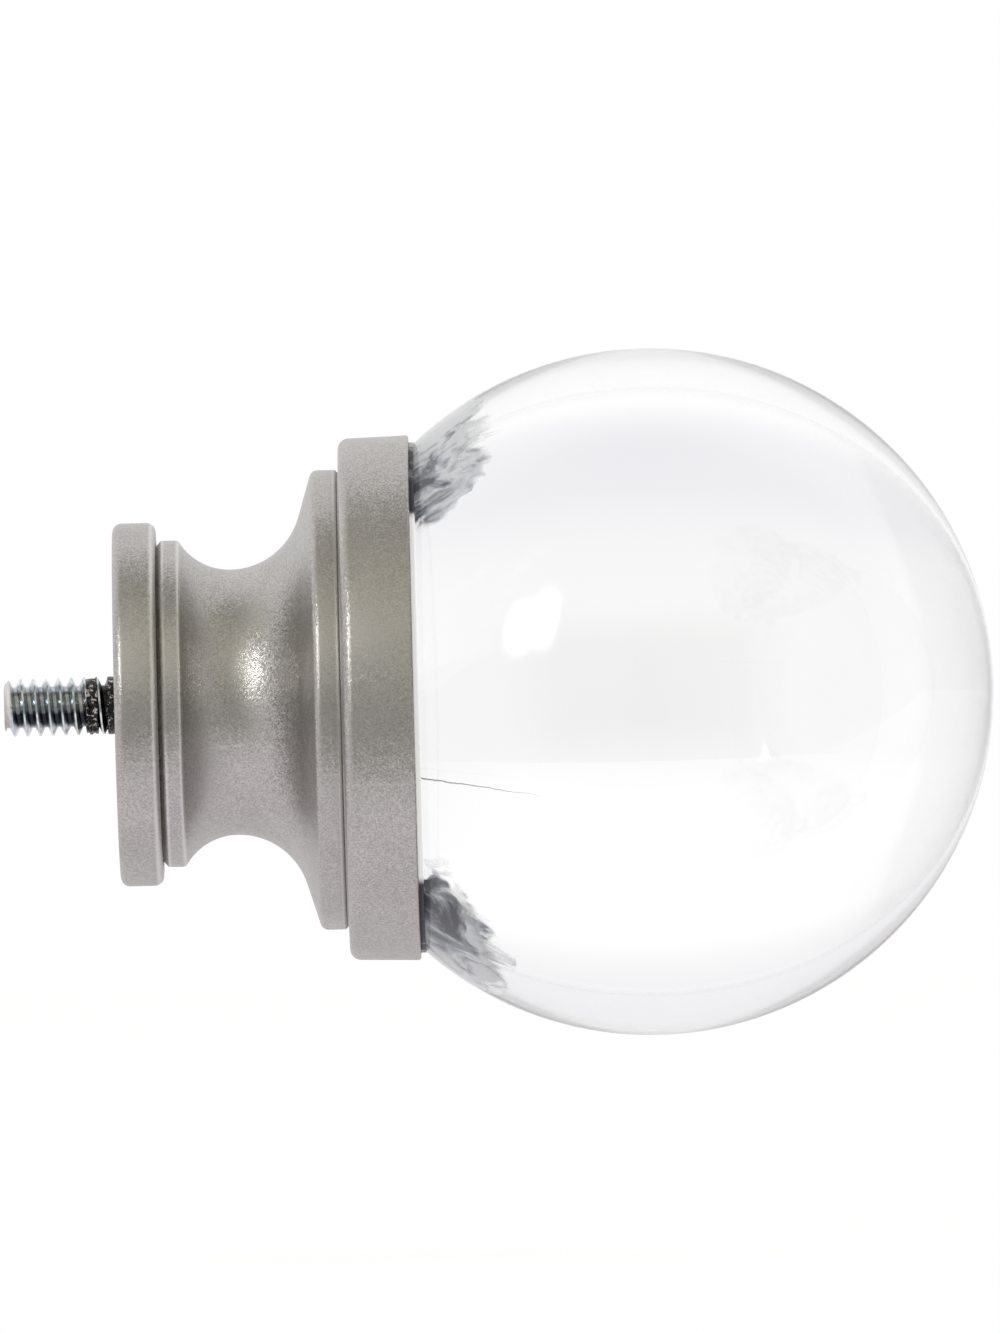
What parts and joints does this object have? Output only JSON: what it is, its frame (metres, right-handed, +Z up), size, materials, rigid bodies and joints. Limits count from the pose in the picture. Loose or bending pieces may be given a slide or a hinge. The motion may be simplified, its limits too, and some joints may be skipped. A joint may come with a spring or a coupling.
{
  "type": "curtain pole finial",
  "caption": "Curtain pole end finial: hollow clear glass ball cemented into a turned satin metal base with a threaded stud that screws into the pole's end.",
  "frame": {"origin": "centre of the base's rear face, where it meets the end of the pole", "axes": "+X along the pole's axis, out of the pole through the ball; the stud points to -X; +Z up"},
  "size_m": [0.0823, 0.0572, 0.0572],
  "materials": {
    "satin_nickel_paint": "satin",
    "clear_glass": "gloss",
    "marbled_cement": "matte",
    "zinc_plated_steel": "satin"
  },
  "bodies": {
    "root": {"base_casting": "satin_nickel_paint", "glass_ball": "clear_glass", "cement": "marbled_cement", "threaded_stud": "zinc_plated_steel"}
  },
  "joints": []
}
